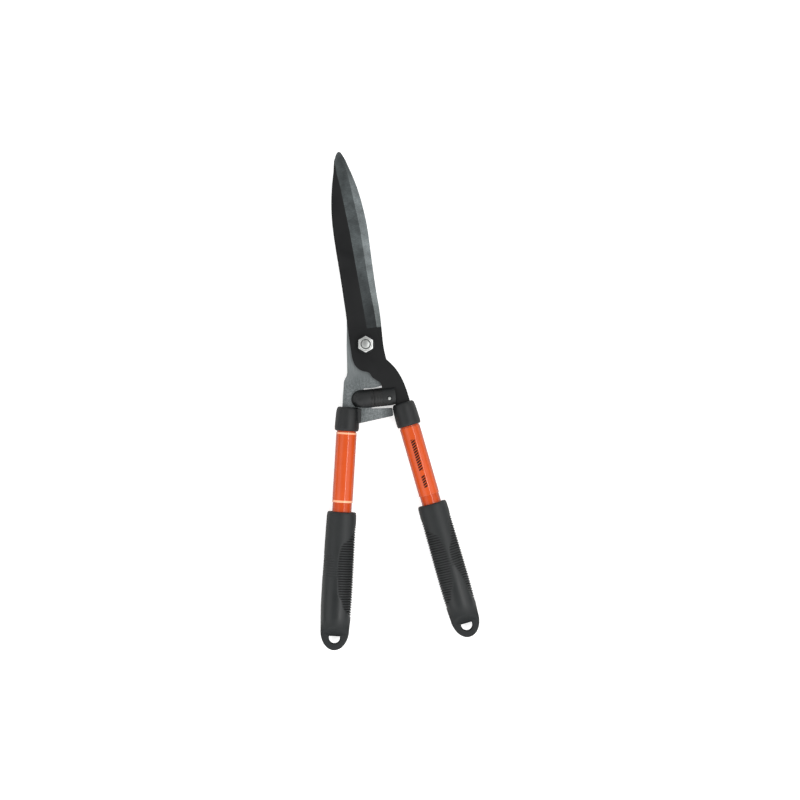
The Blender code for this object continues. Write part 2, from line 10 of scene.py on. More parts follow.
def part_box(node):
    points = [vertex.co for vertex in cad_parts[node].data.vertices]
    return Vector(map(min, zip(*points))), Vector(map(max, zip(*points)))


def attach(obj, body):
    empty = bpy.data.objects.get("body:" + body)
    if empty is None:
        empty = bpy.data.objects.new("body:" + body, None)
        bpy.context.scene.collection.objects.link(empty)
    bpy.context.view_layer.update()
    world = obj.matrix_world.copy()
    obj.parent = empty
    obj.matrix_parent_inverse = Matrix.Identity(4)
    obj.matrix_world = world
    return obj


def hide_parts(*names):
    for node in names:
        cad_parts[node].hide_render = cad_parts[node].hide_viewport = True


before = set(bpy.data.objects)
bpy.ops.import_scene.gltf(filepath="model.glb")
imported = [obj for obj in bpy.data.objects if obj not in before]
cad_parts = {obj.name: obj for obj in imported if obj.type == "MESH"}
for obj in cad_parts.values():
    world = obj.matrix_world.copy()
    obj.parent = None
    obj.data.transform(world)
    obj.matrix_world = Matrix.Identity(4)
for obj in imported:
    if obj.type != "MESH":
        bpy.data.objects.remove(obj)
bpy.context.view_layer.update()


# ---- Studio ----
# A matt white floor, softly lit from beneath like a light table, in a white tent: dim overhead and at
# the horizon, bright between, and brighter towards the handles, so flat steel stays dark and rims show.
# A narrow strip light to the right, laid along the left handle, draws a line down it.
mm = 0.001
lean_in_view = math.radians(6.33)  # the blades lean this far to the left of upright
seen_across = 0.896
camera_height = 2.5
centre_of_view = Vector((0.0311, -0.0660, 0.0138))
handle_angle = math.radians(9.73)  # each handle from the middle line

eye = bpy.data.objects.new("camera", bpy.data.cameras.new("camera"))
bpy.context.scene.collection.objects.link(eye)
eye.location = centre_of_view + Vector((0, 0, camera_height))
eye.rotation_euler = (0, 0, -lean_in_view)
eye.data.sensor_width = 36
eye.data.lens = eye.data.sensor_width * camera_height / seen_across
bpy.context.scene.camera = eye
bpy.context.scene.view_settings.view_transform = "Standard"


def colour(code):
    """A linear colour from an sRGB hex value."""
    parts = [int(code[i:i + 2], 16) / 255 for i in (1, 3, 5)]
    return [p / 12.92 if p <= 0.04045 else ((p + 0.055) / 1.055) ** 2.4 for p in parts] + [1]


def signal(value):
    """A node's first output that is in use; anything else as it is."""
    if isinstance(value, bpy.types.Node):
        return next(output for output in value.outputs if output.enabled)
    return value


def add(tree, kind, inputs=None, **settings):
    """Adds a shader node, sets its settings, and sets or links its inputs."""
    made = tree.nodes.new("ShaderNode" + kind)
    for name, value in settings.items():
        setattr(made, name, value)
    for name, value in (inputs or {}).items():
        value = signal(value)
        if isinstance(value, bpy.types.NodeSocket):
            tree.links.new(value, made.inputs[name])
        else:
            made.inputs[name].default_value = value
    return made


# (height, brightness), from 0 at the horizon to 1 straight overhead
tent_bands = ((0.0, 0.22), (0.25, 0.50), (0.5, 1.45), (0.76, 1.75), (0.86, 0.95), (0.93, 0.50), (1.0, 0.42))
brightest = max(light for _, light in tent_bands)
handle_end, tip_end = 1.4, 0.6  # the tent's strength at either end
air = bpy.data.worlds.new("tent")
air.use_nodes = True
bpy.context.scene.world = air
sky = air.node_tree
towards = add(sky, "SeparateXYZ", {"Vector": add(sky, "TexCoord").outputs["Generated"]})
tent = add(sky, "ValToRGB", {"Fac": towards.outputs["Z"]})
tent.color_ramp.interpolation = "EASE"
for i, (height, light) in enumerate(tent_bands):
    stop = tent.color_ramp.elements[i] if i < 2 else tent.color_ramp.elements.new(height)
    stop.position = height
    stop.color = (light / brightest, light / brightest, light / brightest, 1)
from_handles = add(sky, "MapRange", {"Value": towards.outputs["Y"], "From Min": -0.9, "From Max": 0.9,
                                     "To Min": handle_end * brightest, "To Max": tip_end * brightest})
lit = add(sky, "Background", {"Color": tent, "Strength": from_handles})
plain = add(sky, "Background", {"Color": (1, 1, 1, 1), "Strength": 0.95})
seen = add(sky, "MixShader", {"Fac": add(sky, "LightPath").outputs["Is Camera Ray"], 1: lit,
                              2: plain})
sky.links.new(seen.outputs["Shader"], sky.nodes["World Output"].inputs["Surface"])

lamp = bpy.data.lights.new("strip", "AREA")
lamp.shape = "RECTANGLE"
lamp.size, lamp.size_y, lamp.energy = 2.6, 0.2, 20
strip = bpy.data.objects.new("strip", lamp)
bpy.context.scene.collection.objects.link(strip)
strip.location = (1.15, -0.34, 2.5)
middle_of_left_tube = Vector((-0.04, -0.14, 0.014))
back = (strip.location - middle_of_left_tube).normalized()
down_left_handle = Vector((-math.sin(handle_angle), -math.cos(handle_angle), 0))
down_left_handle = (down_left_handle - down_left_handle.dot(back) * back).normalized()
axes = Matrix((down_left_handle, back.cross(down_left_handle), back))
strip.rotation_euler = axes.transposed().to_euler()
strip.visible_camera = False


def start_material(name, code, roughness, **sockets):
    """A new Principled material with its plain values set on the shader."""
    made = bpy.data.materials.new(name)
    made.use_nodes = True
    shader = made.node_tree.nodes["Principled BSDF"]
    shader.inputs["Base Color"].default_value = colour(code)
    shader.inputs["Roughness"].default_value = roughness
    for socket, value in sockets.items():
        shader.inputs[socket.replace("_", " ")].default_value = value
    return made, made.node_tree, shader


def wire(tree, shader, **sources):
    """Links shader inputs, with underscores for spaces in their names, to what drives them."""
    for name, source in sources.items():
        tree.links.new(signal(source), shader.inputs[name.replace("_", " ")])


floor_paint, floor_tree, floor_shader = start_material("matt_white_paint", "#efefee", 0.9)
speckle = add(floor_tree, "TexNoise", {"Vector": add(floor_tree, "TexCoord").outputs["Object"],
                                       "Scale": 60.0})
floor_tones = add(floor_tree, "Mix", {"Factor": speckle, "A": colour("#eeeeed"),
                                      "B": colour("#f2f2f1")}, data_type="RGBA")
wire(floor_tree, floor_shader, Base_Color=floor_tones)
floor_shader.inputs["Emission Color"].default_value = (1, 1, 1, 1)
floor_shader.inputs["Emission Strength"].default_value = 0.5
bpy.ops.object.select_all(action="DESELECT")
bpy.ops.mesh.primitive_plane_add(size=40, location=(0, 0, -0.2 * mm))
floor = bpy.context.active_object
floor.name = "floor"
floor.data.materials.append(floor_paint)


# ---- Blades ----
# Two flat forgings of hardened steel. The outer faces and sides have a black low-friction coating,
# ground through along the cutting edge in a wide facet and a steeper edge bevel; the faces that
# slide on each other are surface-ground and bare. The back one carries the bolt and the left stop.
blade_thickness = 4.5 * mm
plunge_line = 17.6 * mm  # where the facets start, above the pivot
facet_depth = 1.9 * mm  # how deep the wide facet has gone where the edge bevel starts
eased_edge = 0.3 * mm
thinnest_face = 0.01 * mm  # slivers left where a bevel runs out are dissolved
nearly_flat = math.radians(0.3)


def pick(piece):
    bpy.ops.object.select_all(action="DESELECT")
    piece.select_set(True)
    bpy.context.view_layer.objects.active = piece


def copy_of_node(node, name):
    """A merged copy of a CAD solid with whole flat faces, picked."""
    piece = bpy.data.objects.new(name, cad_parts[node].data.copy())
    bpy.context.scene.collection.objects.link(piece)
    piece.data.materials.clear()
    pick(piece)
    bpy.ops.mesh.customdata_custom_splitnormals_clear()
    bpy.ops.object.mode_set(mode="EDIT")
    bpy.ops.mesh.select_all(action="SELECT")
    bpy.ops.mesh.remove_doubles(threshold=0.002 * mm)
    bpy.ops.mesh.dissolve_limited(angle_limit=nearly_flat)
    bpy.ops.object.mode_set(mode="OBJECT")
    return piece


def select_edges(piece, wanted):
    """Selects the edges of a piece in edit mode for which wanted(one end, other end, angle) is true."""
    bpy.ops.object.mode_set(mode="EDIT")
    bpy.ops.mesh.select_mode(type="EDGE")
    bpy.ops.mesh.select_all(action="DESELECT")
    body = bmesh.from_edit_mesh(piece.data)
    for edge in body.edges:
        edge.select = wanted(edge.verts[0].co, edge.verts[1].co, edge.calc_face_angle(0))
    bmesh.update_edit_mesh(piece.data)


def ride_and_replace(piece, body, slot, *nodes):
    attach(piece, body)
    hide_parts(*nodes)


def grinding_marks(tree, across, along, depth):
    """Fine scratches and their bump: across and along are their width and length in metres."""
    place = add(tree, "Mapping", {"Vector": add(tree, "TexCoord").outputs["Object"],
                                  "Scale": (1 / along, 1 / across, 1 / across)})
    scratches = add(tree, "TexNoise", {"Vector": place, "Scale": 1.0, "Detail": 4.0})
    bump = add(tree, "Bump", {"Height": scratches, "Strength": 0.5, "Distance": depth})
    return scratches, bump


def shade_and_dull_at_a_slant(tree, shader, level=0.5):
    """Paints shade into a grained surface's colour at its rim, where it is seen at a slant and shadows
    itself, and lowers its shine there.
    """
    slant = add(tree, "LayerWeight", {"Blend": 0.5}).outputs["Facing"]
    shine = add(tree, "MapRange", {"Value": slant, "From Min": 0.2, "From Max": 0.85,
                                   "To Min": level, "To Max": 0.03})
    depth = add(tree, "MapRange", {"Value": slant, "From Min": 0.3, "From Max": 0.8,
                                   "To Min": 1.0, "To Max": 0.4})
    # Painted shade: the base colour is scaled down towards the rim, by the angle it is seen at.
    tone = shader.inputs["Base Color"].links[0].from_socket
    rim_shaded = add(tree, "VectorMath", {0: tone, "Scale": depth}, operation="SCALE")
    wire(tree, shader, Base_Color=rim_shaded, Specular_IOR_Level=shine)


def low_friction_coating():
    """Sprayed and stoved PTFE coating: near black, dull, with a fine orange peel and handling smears."""
    made, tree, shader = start_material("black_ptfe_coating", "#101113", 0.45, IOR=1.33)
    place = add(tree, "TexCoord").outputs["Object"]
    smears = add(tree, "TexNoise", {"Vector": place, "Scale": 28.0, "Detail": 5.0, "Distortion": 0.6})
    tones = add(tree, "Mix", {"Factor": smears, "A": colour("#0a0b0c"), "B": colour("#111213")},
                data_type="RGBA")
    polish = add(tree, "MapRange", {"Value": smears, "From Min": 0.3, "From Max": 0.7,
                                    "To Min": 0.36, "To Max": 0.54})
    peel = add(tree, "TexNoise", {"Vector": place, "Scale": 1 / (0.9 * mm), "Detail": 2.0})
    bump = add(tree, "Bump", {"Height": peel, "Strength": 0.35, "Distance": 0.02 * mm})
    wire(tree, shader, Base_Color=tones, Roughness=polish, Normal=bump)
    return made


def facet_steel(name, near_pivot, near_tip, roughness):
    """Ground and lightly blackened steel: scratches square to the edge, darker near pivot and tip."""
    made, tree, shader = start_material(name, near_tip, roughness, Metallic=0.75)
    scratches, bump = grinding_marks(tree, 0.45 * mm, 9 * mm, 0.02 * mm)
    height = add(tree, "SeparateXYZ", {"Vector": add(tree, "TexCoord").outputs["Object"]}).outputs["Y"]
    rise = add(tree, "MapRange", {"Value": height, "From Min": plunge_line, "From Max": 110 * mm,
                                  "To Min": 0.0, "To Max": 1.0}, interpolation_type="SMOOTHSTEP")
    tone = add(tree, "Mix", {"Factor": rise, "A": colour(near_pivot), "B": colour(near_tip)},
               data_type="RGBA")
    marks = add(tree, "MapRange", {"Value": scratches, "From Min": 0.3, "From Max": 0.7,
                                   "To Min": 0.72, "To Max": 1.28})
    clouds = add(tree, "TexNoise", {"Vector": add(tree, "TexCoord").outputs["Object"],
                                    "Scale": 1 / (13 * mm), "Detail": 3.0})
    smears = add(tree, "MapRange", {"Value": clouds, "From Min": 0.35, "From Max": 0.65,
                                    "To Min": 0.72, "To Max": 1.25})
    dulled = add(tree, "MapRange", {"Value": height, "From Min": 150 * mm, "From Max": 205 * mm,
                                    "To Min": 1.0, "To Max": 0.72})
    both = add(tree, "Math", {0: marks, 1: smears}, operation="MULTIPLY")
    level = add(tree, "Math", {0: both, 1: dulled}, operation="MULTIPLY")
    shaded = add(tree, "VectorMath", {0: tone, "Scale": level},
                 operation="SCALE")
    wire(tree, shader, Base_Color=shaded, Normal=bump)
    return made


def bare_ground_steel():
    """Surface-ground steel, oiled: satin grey with long fine lines down the blade and a faint stain, and
    shade painted on the fork's lower arm towards its end.
    """
    made, tree, shader = start_material("surface_ground_steel", "#a4adae", 0.4, Metallic=1.0)
    place = add(tree, "TexCoord").outputs["Object"]
    stretched = add(tree, "Mapping", {"Vector": place,
                                      "Scale": (1 / (0.5 * mm), 1 / (16 * mm), 1 / (0.5 * mm))})
    lines = add(tree, "TexNoise", {"Vector": stretched, "Scale": 1.0, "Detail": 4.0})
    stain = add(tree, "TexNoise", {"Vector": place, "Scale": 45.0, "Detail": 4.0})
    both = add(tree, "Math", {0: lines, 1: stain}, operation="ADD")
    tones = add(tree, "MapRange", {"Value": both, "From Min": 0.7, "From Max": 1.3,
                                   "To Min": 0.0, "To Max": 1.0})
    steel = add(tree, "Mix", {"Factor": tones, "A": colour("#6e7475"), "B": colour("#8e9394")},
                data_type="RGBA")
    parts = add(tree, "SeparateXYZ", {"Vector": place})
    fork = add(tree, "MapRange", {"Value": parts.outputs["Y"], "From Min": -34 * mm, "From Max": -46 * mm,
                                  "To Min": 0.0, "To Max": 1.0})
    patches = add(tree, "TexNoise", {"Vector": place, "Scale": 1 / (1.6 * mm), "Detail": 4.0})
    rubbed = add(tree, "MapRange", {"Value": patches, "From Min": 0.38, "From Max": 0.62,
                                    "To Min": 0.78, "To Max": 1.2})
    # Painted shade: the lower arm darkens towards its right end, beside the ferrule, as in the ferrule's
    # shadow.
    painted_shade_at_arm_end = add(tree, "MapRange", {"Value": parts.outputs["X"], "From Min": 8 * mm, "From Max": 20 * mm,
                                     "To Min": 1.0, "To Max": 0.4})
    rubbed_and_shaded = add(tree, "Math", {0: rubbed, 1: painted_shade_at_arm_end}, operation="MULTIPLY")
    brighter = add(tree, "MapRange", {"Value": parts.outputs["Y"], "From Min": -28 * mm, "From Max": 0.0,
                                      "To Min": 1.0, "To Max": 1.4})
    level = add(tree, "Mix", {"Factor": fork, "A": brighter, "B": rubbed_and_shaded}, data_type="FLOAT")
    steel = add(tree, "VectorMath", {0: steel, "Scale": level}, operation="SCALE")
    bump = add(tree, "Bump", {"Height": lines, "Strength": 0.4, "Distance": 0.015 * mm})
    wire(tree, shader, Base_Color=steel, Normal=bump)
    return made


blade_finishes = [low_friction_coating(), facet_steel("ground_wide_facet", "#222526", "#414647", 0.40),
                  facet_steel("ground_edge_bevel", "#575c5c", "#555a5b", 0.36), bare_ground_steel()]
coating, wide_facet, edge_bevel, bare_face = range(4)


def finish_blade(node, name, outer, body, slot):
    """Eases a blade's outline and gives each face its finish. outer is 1 if its outer face is up, or -1."""
    piece = copy_of_node(node, name)
    low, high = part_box(node)
    outer_z, inner_z = (high.z, low.z) if outer > 0 else (low.z, high.z)

    def eased(a, b, angle):
        cutting = a.y > plunge_line and b.y > plunge_line and outer * min(a.x, b.x, key=abs) > 0
        at_inner = abs(a.z - inner_z) < eased_edge and abs(b.z - inner_z) < eased_edge
        facet = any(abs(p.z - outer_z) > eased_edge and p.y > plunge_line for p in (a, b))
        return angle > math.radians(40) and not (cutting and (at_inner or facet))

    if outer < 0:
        arm_low, arm_right, longer_by = -72 * mm, 19 * mm, 0.5 * mm  # the fork's lower arm
        select_edges(piece, lambda a, b, angle: max(a.y, b.y) < arm_low and min(a.x, b.x) > arm_right)
        bpy.ops.transform.translate(value=(longer_by, 0, 0))
    select_edges(piece, eased)
    bpy.ops.mesh.bevel(offset=eased_edge, segments=2, affect="EDGES", clamp_overlap=True)
    bpy.ops.mesh.select_all(action="SELECT")
    bpy.ops.mesh.dissolve_degenerate(threshold=thinnest_face)
    bpy.ops.mesh.dissolve_limited(angle_limit=nearly_flat)
    bpy.ops.object.mode_set(mode="OBJECT")
    for finish in blade_finishes:
        piece.data.materials.append(finish)
    points = piece.data.vertices
    for face in piece.data.polygons:
        depths = [(outer_z - points[i].co.z) * outer for i in face.vertices]
        up = face.normal.z * outer
        face.material_index = coating
        if up < -0.9999:
            face.material_index = bare_face
        elif 0.7 < up < 0.9995 and max(depths) > eased_edge * 1.5:
            face.material_index = wide_facet if max(depths) < facet_depth * 1.04 else edge_bevel
    bpy.ops.object.shade_smooth_by_angle(angle=math.radians(30))
    meeting = {}
    for face in piece.data.polygons:
        for pair in face.edge_keys:
            meeting.setdefault(pair, set()).add(face.material_index)
    for edge in piece.data.edges:
        if len(meeting[edge.key]) > 1 and bare_face not in meeting[edge.key]:
            edge.use_edge_sharp = True
    weigh = piece.modifiers.new("flat_faces_lead", "WEIGHTED_NORMAL")
    weigh.keep_sharp = True
    bpy.ops.object.modifier_apply(modifier=weigh.name)
    ride_and_replace(piece, body, slot, node)
    return piece


finish_blade("back_blade", "back_blade_forging", -1, "back_half", "ground_steel")
finish_blade("front_blade", "front_blade_forging", 1, "front_half", "coated_steel")


# ---- Pivot ----
# An M10 bolt from behind, zinc-plated, with a plain washer under its head and a blackened one under
# the self-locking nut in front, whose rolled collar holds a nylon ring on the bolt's thread.
hex_flats = 16 * mm
hex_turn = math.radians(-6.3)  # a corner of the nut points almost along the blades
thread_radius = 4.9 * mm
thread_pitch = 1.5 * mm
thread_depth = 0.75 * mm


def draw_round(name, profile, sides=96, ring=False):
    """Draws a round piece up Z: a circle, then extruded and scaled from one (radius, z) to the next.
    A ring's last circle is bridged to its first; otherwise both ends are filled."""
    bpy.ops.object.select_all(action="DESELECT")
    radius, z = profile[0]
    bpy.ops.mesh.primitive_circle_add(vertices=sides, radius=radius, location=(0, 0, z))
    piece = bpy.context.active_object
    piece.name = name
    bpy.ops.object.transform_apply()
    bpy.ops.object.mode_set(mode="EDIT")
    bpy.ops.mesh.select_all(action="SELECT")
    if not ring:
        bpy.ops.mesh.edge_face_add()
        bpy.ops.mesh.select_all(action="SELECT")
        bpy.ops.mesh.select_mode(type="EDGE")
    for next_radius, next_z in profile[1:]:
        bpy.ops.mesh.extrude_region_move(TRANSFORM_OT_translate={"value": (0, 0, next_z - z)})
        grow = next_radius / radius
        bpy.ops.transform.resize(value=(grow, grow, 1), center_override=(0, 0, next_z))
        radius, z = next_radius, next_z
    if ring:
        bpy.ops.mesh.select_all(action="DESELECT")
        bpy.ops.mesh.select_mode(type="EDGE")
        bpy.ops.mesh.select_non_manifold()
        bpy.ops.mesh.bridge_edge_loops()
    bpy.ops.mesh.select_all(action="SELECT")
    bpy.ops.mesh.normals_make_consistent(inside=False)
    bpy.ops.object.mode_set(mode="OBJECT")
    return piece


def rounded(corner_radius, z, bend, inward_up, steps=3):
    """Profile points round a corner of a turned piece, from its side to its end face."""
    turn = [math.pi / 2 * i / steps for i in range(steps + 1)]
    return [(corner_radius - bend + bend * math.cos(a), z + inward_up * (bend * math.sin(a) - bend))
            for a in turn]


def combine(piece, tool, operation):
    """Applies a Boolean of one mesh on another and removes the tool."""
    pick(piece)
    change = piece.modifiers.new("change", "BOOLEAN")
    change.operation, change.object = operation, tool
    bpy.ops.object.modifier_apply(modifier=change.name)
    bpy.data.objects.remove(tool)
    return piece


def cut(piece, tool):
    return combine(piece, tool, "DIFFERENCE")


def finish_piece(piece, angle, finish, body, slot, node):
    """Shades a piece smooth below an angle, gives it its material and puts it in its node's place."""
    bpy.ops.object.shade_smooth_by_angle(angle=math.radians(angle))
    piece.data.materials.append(finish)
    ride_and_replace(piece, body, slot, node)


def ease(piece, width, angle=30, segments=2):
    """Bevels a piece's sharp edges and shades it smooth."""
    pick(piece)
    soften = piece.modifiers.new("soften", "BEVEL")
    soften.width, soften.segments, soften.angle_limit = width, segments, math.radians(angle)
    soften.miter_outer = "MITER_ARC"
    bpy.ops.object.modifier_apply(modifier=soften.name)
    bpy.ops.object.shade_smooth_by_angle(angle=math.radians(angle))
    return piece


def zinc_plate():
    """Bright zinc plate, passivated: a pale, slightly blotched metal with soft reflections."""
    made, tree, shader = start_material("bright_zinc_plate", "#d2d3d1", 0.3, Metallic=1.0)
    place = add(tree, "TexCoord").outputs["Object"]
    blotch = add(tree, "TexNoise", {"Vector": place, "Scale": 1 / (2.4 * mm), "Detail": 4.0})
    tones = add(tree, "Mix", {"Factor": blotch, "A": colour("#a4a6a3"), "B": colour("#dcdddc")},
                data_type="RGBA")
    dull = add(tree, "MapRange", {"Value": blotch, "To Min": 0.24, "To Max": 0.46})
    grain = add(tree, "TexNoise", {"Vector": place, "Scale": 1 / (0.3 * mm), "Detail": 2.0})
    bump = add(tree, "Bump", {"Height": grain, "Strength": 0.25, "Distance": 0.02 * mm})
    wire(tree, shader, Base_Color=tones, Roughness=dull, Normal=bump)
    return made


def speckled(name, dark, light, roughness, grain, depth, **sockets):
    """A material mottled between two tones, with a fine grain of the given size and depth."""
    made, tree, shader = start_material(name, dark, roughness, **sockets)
    place = add(tree, "TexCoord").outputs["Object"]
    mottle = add(tree, "TexNoise", {"Vector": place, "Scale": 1 / (9 * mm), "Detail": 4.0})
    tones = add(tree, "Mix", {"Factor": mottle, "A": colour(dark), "B": colour(light)},
                data_type="RGBA")
    wear = add(tree, "MapRange", {"Value": mottle, "From Min": 0.3, "From Max": 0.7,
                                  "To Min": roughness - 0.07, "To Max": roughness + 0.07})
    fine = add(tree, "TexNoise", {"Vector": place, "Scale": 1 / grain, "Detail": 3.0})
    bump = add(tree, "Bump", {"Height": fine, "Strength": 0.5, "Distance": depth})
    wire(tree, shader, Base_Color=tones, Roughness=wear, Normal=bump)
    # Painted shade at the rim, where the surface is seen at a slant.
    shade_and_dull_at_a_slant(tree, shader)
    return made


zinc = zinc_plate()
dull_zinc = speckled("zinc_dulled_with_oil", "#8e908e", "#b6b8b6", 0.4, 0.5 * mm, 0.04 * mm, Metallic=1.0)
blackened = speckled("oil_blackened_steel", "#1e1f20", "#303132", 0.38, 0.4 * mm, 0.02 * mm, Metallic=0.8)
ring_nylon = speckled("nylon_ring", "#626463", "#7e807f", 0.45, 0.5 * mm, 0.02 * mm, IOR=1.53)


def draw_hexagon(name, low_z, high_z, outer_up):
    """A hexagonal head or nut, flats to the sides, turned to a cone at its outer end."""
    bpy.ops.object.select_all(action="DESELECT")
    bpy.ops.mesh.primitive_cylinder_add(vertices=6, radius=hex_flats / math.sqrt(3), depth=high_z - low_z,
                                        location=(0, 0, (low_z + high_z) / 2), rotation=(0, 0, hex_turn))
    piece = bpy.context.active_object
    piece.name = name
    bpy.ops.object.transform_apply()
    bore_mouth, wide, drop = 0.94 * hex_flats / 2, hex_flats, 2.6 * mm
    cone = [(bore_mouth, low_z), (wide, low_z + drop), (wide, high_z + mm)]
    if outer_up:
        cone = [(wide, low_z - mm), (wide, high_z - drop), (bore_mouth, high_z)]
    return combine(piece, draw_round("cone", cone), "INTERSECT")


def cut_thread(piece, low_z, high_z):
    """Sinks a helical thread into a round piece between two heights."""
    for point in piece.data.vertices:
        radius = math.hypot(point.co.x, point.co.y)
        if low_z < point.co.z < high_z and radius > thread_radius * 0.9:
            turn = point.co.z / thread_pitch - math.atan2(point.co.y, point.co.x) / math.tau
            groove = thread_depth * (1 - abs(2 * (turn % 1) - 1))
            point.co.x *= 1 - groove / radius
            point.co.y *= 1 - groove / radius


head_low, bolt_tip = (corner.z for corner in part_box("pivot_bolt"))
rear_low, rear_high = (corner.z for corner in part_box("rear_washer"))
front_low, front_high = (corner.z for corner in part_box("front_washer"))
nut_low, nut_high = (corner.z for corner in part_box("pivot_nut"))
ring_low, ring_high = (corner.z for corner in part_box("nut_lock_ring"))
head_high = rear_low - 0.3 * mm

bolt = ease(draw_hexagon("head", head_low, head_high, False), 0.25 * mm, 25)
bolt.name = "pivot_bolt_zinc"
thread_from = front_high
levels = 72
shank = [(thread_radius, head_high - 2 * mm), (thread_radius, thread_from)]
shank += [(thread_radius, thread_from + (bolt_tip - mm - thread_from) * i / levels)
          for i in range(1, levels + 1)]
shank += [(thread_radius - 0.5 * mm, bolt_tip - 0.35 * mm), (thread_radius - 1.1 * mm, bolt_tip)]
shank = draw_round("shank", shank)
cut_thread(shank, thread_from, bolt_tip - 0.9 * mm)
combine(bolt, shank, "UNION")
finish_piece(bolt, 40, dull_zinc, "back_half", "zinc", "pivot_bolt")

bend = 0.35 * mm
for node, name, low_z, high_z, finish, slot in (
        ("rear_washer", "rear_washer_zinc", rear_low, rear_high, zinc, "zinc"),
        ("front_washer", "front_washer_blackened", front_low, front_high, blackened, "spring_steel")):
    rim = (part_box(node)[1].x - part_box(node)[0].x) / 2
    bore = thread_radius + 0.3 * mm
    washer = [*reversed(rounded(rim, low_z, bend, -1)), *rounded(rim, high_z, bend, 1),
              (bore, high_z), (bore, low_z)]
    washer = draw_round(name, washer, ring=True)
    finish_piece(washer, 40, finish, "back_half", slot, node)

nut = draw_hexagon("pivot_nut_zinc", nut_low, ring_low, True)
collar, lip, bore = 7.1 * mm, 5.8 * mm, thread_radius + 0.15 * mm
roll = 1.3 * mm
rolled = [(collar, nut_low + 2 * mm), (collar, ring_low + 0.2 * mm), *rounded(collar, nut_high, roll, 1, 6)]
combine(nut, draw_round("collar", [*rolled, (lip, nut_high)]), "UNION")
recess = lip + 0.3 * mm
bore_line = [(bore, nut_low - mm), (bore, ring_low), (recess, ring_low + 0.01 * mm), (recess, ring_high),
             (lip, ring_high + 0.2 * mm), (lip, nut_high + mm)]
cut(nut, draw_round("bore", bore_line))
ease(nut, 0.2 * mm, 25)
nut.data.materials.append(zinc)
ride_and_replace(nut, "back_half", "zinc", "pivot_nut")

lock_ring = draw_round("nut_lock_ring_nylon", [
    (lip + 0.2 * mm, ring_low + 0.1 * mm), (lip + 0.2 * mm, ring_high), (bore + 0.5 * mm, ring_high),
    (bore, ring_high - 0.4 * mm), (bore, ring_low + 0.1 * mm)], ring=True)
finish_piece(lock_ring, 30, ring_nylon, "back_half", "nylon", "nut_lock_ring")


# ---- Stops ----
# Two black stubs across the throat that meet when the blades close. The left holder is moulded in
# glass-filled nylon and slides into the back blade's slot; the right one straddles the front tang and
# is riveted to it. Each carries a moulded rubber pad.
stop_y, stop_radius = -60.4 * mm, 10.4 * mm
stop_level = (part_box("stop_pad_right")[0].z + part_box("stop_pad_right")[1].z) / 2
clear = 0.3 * mm
closed = 0.28 * mm  # how far each stop's fixed joint is closed, so that no light shows through it
met = 0.1 * mm  # how much nearer than in the CAD the two pads' meeting faces are, each
near_pole = 0.04  # a dome's first ring, in radians from its pole
back_low, back_high = (corner.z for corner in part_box("back_blade"))
front_blade_low, front_blade_high = (corner.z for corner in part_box("front_blade"))
ferrule_top = 72.5 * mm


def handle_place(side):
    """Where a handle lies: X across it, Y up and Z down it, from the pivot's level."""
    offset, shift = (15.8 * mm, -1.4 * mm) if side < 0 else (21.6 * mm, 1.4 * mm)
    cos, sin = math.cos(handle_angle), math.sin(handle_angle)
    start = Vector((side * (offset * cos + shift * sin), offset * sin - shift * cos, stop_level))
    leaning = Matrix.Translation(start) @ Matrix.Rotation(side * handle_angle, 4, "Z")
    return leaning @ Matrix.Rotation(math.pi / 2, 4, "X")


handles = {"left": handle_place(-1), "right": handle_place(1)}
bodies = {"left": "back_half", "right": "front_half"}
along_x = Matrix.Translation((0, stop_y, stop_level)) @ Matrix.Rotation(math.pi / 2, 4, "Y")


def lay(piece, place):
    """Moves a piece drawn up Z to its place and keeps its object at the origin."""
    pick(piece)
    piece.matrix_world = place
    bpy.ops.object.transform_apply()
    return piece


def block(low, high):
    """A block between two corners, as a tool."""
    bpy.ops.object.select_all(action="DESELECT")
    middle = [(l + h) / 2 for l, h in zip(low, high)]
    bpy.ops.mesh.primitive_cube_add(size=1, location=middle, scale=[h - l for l, h in zip(low, high)])
    bpy.ops.object.transform_apply()
    return bpy.context.active_object


def rod(radius, low, high, at=(0, 0), sides=64):
    """A round tool up Z."""
    bpy.ops.object.select_all(action="DESELECT")
    bpy.ops.mesh.primitive_cylinder_add(vertices=sides, radius=radius, depth=high - low,
                                        location=(*at, (low + high) / 2))
    bpy.ops.object.transform_apply()
    return bpy.context.active_object


def ferrule_room(side):
    """The corner that a stop gives up to the ferrule beside it."""
    reach = 30 * mm
    room = block((-reach, -reach, ferrule_top - 0.5 * mm), (reach, reach, ferrule_top + reach))
    return lay(room, handles[side])


filled_nylon = speckled("glass_filled_nylon", "#131516", "#1a1c1d", 0.5, 0.35 * mm, 0.03 * mm, IOR=1.42)
rubber = speckled("moulded_rubber", "#131414", "#1c1d1d", 0.42, 0.5 * mm, 0.03 * mm, IOR=1.42)

left_low, left_high = (corner.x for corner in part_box("stop_holder_left"))
dome = left_low + stop_radius
turn = [math.pi / 2 * i / 16 for i in range(1, 16)]
round_end = [(stop_radius * math.sin(a), dome - stop_radius * math.cos(a))
             for a in [near_pole, *turn, math.pi / 2]]
holder = draw_round("stop_holder_left_nylon",
                    [*round_end, *rounded(stop_radius, left_high + closed, 0.05 * mm, 1)])
lay(holder, along_x)
core = 7.5 * mm
groove = block((left_low - mm, stop_y - 15 * mm, back_low - clear),
               (mm, stop_y + 15 * mm, back_high + clear))
cut(groove, rod(core, 0, 30 * mm, at=(dome, stop_y)))
cut(groove, block((dome, stop_y - core, 0), (2 * mm, stop_y + core, 30 * mm)))
cut(holder, groove)
cut(holder, ferrule_room("left"))
stem, stem_end = 4 * mm, left_high - 8 * mm
cut(holder, lay(rod(stem + clear, stem_end - clear, mm), along_x))
finish_piece(holder, 35, filled_nylon, "back_half", "black_plastic", "stop_holder_left")

